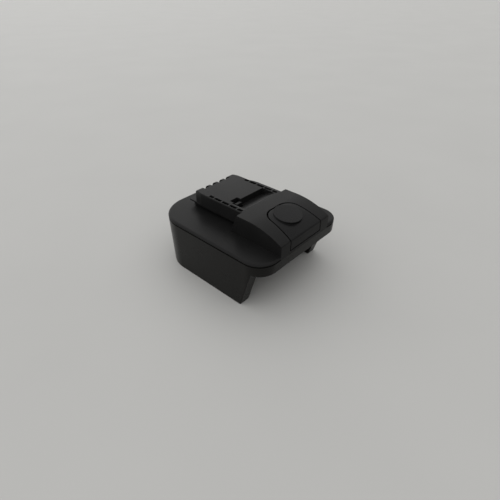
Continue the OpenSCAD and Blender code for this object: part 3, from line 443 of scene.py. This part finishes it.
# Top cover
# The upper shell holds the flange, the front block, the rails and the contact deck. It meets the skirt in a
# fine parting line and has the same grain.
COVER_BLACK = (0.0095, 0.0095, 0.0095)
COVER_CORNER = 0.0002
cover_finish = finished("cover_plastic", MOULD_GRAIN, COVER_BLACK,
                        {"Roughness": 0.36, "Cloud": 0.12, "Wear": 0.1}, SPARK_DEPTH,
                        {"Specular IOR Level": 0.073})
moulded_copy("top_cover", "rail_cover", COVER_CORNER, cover_finish, "housing",
             hidden=DOWN, chosen=on_nose, radius=NOSE_ROUND)

# Screws
# Zinc-plated steel with pan heads: four hold the two shells together from below, two hold the blade
# carrier, and two hold the board on its posts.
dress(("housing_screws", "carrier_screws", "board_screws"), steel_finish)

# Table
# The adapter stands on a plain pale table top that runs out of view, so nothing but its shadow shows there.
# The top is a painted board with hardly visible clouds in the paint.
TABLE_PALE = (0.52, 0.518, 0.504)
TABLE_CLOUD = 0.97
TABLE_HALF = 6
TABLE_ROUGHNESS = 0.6
TABLE_SPECULAR = 0.2
table_mesh = bmesh.new()
bmesh.ops.create_grid(table_mesh, x_segments=2, y_segments=2, size=TABLE_HALF)
bmesh.ops.translate(table_mesh, verts=table_mesh.verts, vec=(0, 0, cad_box[0].z))
table_data = bpy.data.meshes.new("table_top")
table_mesh.to_mesh(table_data)
table_mesh.free()
table_top = bpy.data.objects.new("table_top", table_data)
bpy.context.scene.collection.objects.link(table_top)
table_finish = bpy.data.materials.new("table_pale")
table_finish.use_nodes = True
table_tree = table_finish.node_tree
table_shader = table_tree.nodes["Principled BSDF"]
table_shader.inputs["Roughness"].default_value = TABLE_ROUGHNESS
table_shader.inputs["Specular IOR Level"].default_value = TABLE_SPECULAR
table_cloud = swing(table_tree, noise(table_tree, object_place(table_tree), scale=9, detail=3), 0, 1)
table_colour = blend_colour(table_tree, table_cloud, (*TABLE_PALE, 1),
                            (*(TABLE_CLOUD * part for part in TABLE_PALE), 1))
table_tree.links.new(table_colour, table_shader.inputs["Base Color"])
table_data.materials.append(table_finish)

# Light
# Soft daylight from overhead and a little behind, in a pale room. The room shows behind the table and in
# what shines, and adds only a weak fill to the rest.
DAY_STRENGTH = 2.55
DAY_SPREAD = math.radians(158)
DAY_FALL = Vector((0.25, -0.3, -0.95))
ROOM_TINT = (1, 0.99, 0.97, 1)
ROOM_PALE = 0.6
ROOM_FILL = 0.15
day_data = bpy.data.lights.new("soft_day", "SUN")
day_data.energy = DAY_STRENGTH
day_data.angle = DAY_SPREAD
day_light = bpy.data.objects.new("soft_day", day_data)
day_light.rotation_mode = "QUATERNION"
day_light.rotation_quaternion = DAY_FALL.to_track_quat("-Z", "Y")
bpy.context.scene.collection.objects.link(day_light)
room = bpy.data.worlds.new("pale_room")
room.use_nodes = True
room_tree = room.node_tree
room_light = room_tree.nodes["Background"]
room_light.inputs["Color"].default_value = ROOM_TINT
ray = room_tree.nodes.new("ShaderNodeLightPath").outputs
seen_directly = sums(room_tree, "MAXIMUM", ray["Is Camera Ray"],
                     sums(room_tree, "MAXIMUM", ray["Is Glossy Ray"], ray["Is Transmission Ray"]))
room_strength = spread(room_tree, seen_directly, 0, 1, ROOM_FILL, ROOM_PALE)
room_tree.links.new(room_strength, room_light.inputs["Strength"])
bpy.context.scene.world = room

# Camera
# A phone-like wide lens, held close to the front left corner and tipped down, as in the photograph.
VIEW_YAW = math.radians(-47.544)
VIEW_TILT = math.radians(35.928)
VIEW_PLACE = (-0.15936, -0.14857, 0.16326)
VIEW_LENS = 27.36
VIEW_SENSOR = 36
VIEW_NEAREST = 0.01
camera_back = Vector((math.sin(VIEW_YAW) * math.cos(VIEW_TILT), -math.cos(VIEW_YAW) * math.cos(VIEW_TILT),
                      math.sin(VIEW_TILT)))
camera_data = bpy.data.cameras.new("photo_view")
camera_data.lens = VIEW_LENS
camera_data.sensor_width = VIEW_SENSOR
camera_data.clip_start = VIEW_NEAREST
camera = bpy.data.objects.new("photo_view", camera_data)
camera.location = VIEW_PLACE
camera.rotation_mode = "QUATERNION"
camera.rotation_quaternion = (-camera_back).to_track_quat("-Z", "Y")
bpy.context.scene.collection.objects.link(camera)
bpy.context.scene.camera = camera
bpy.context.scene.view_settings.view_transform = "Standard"
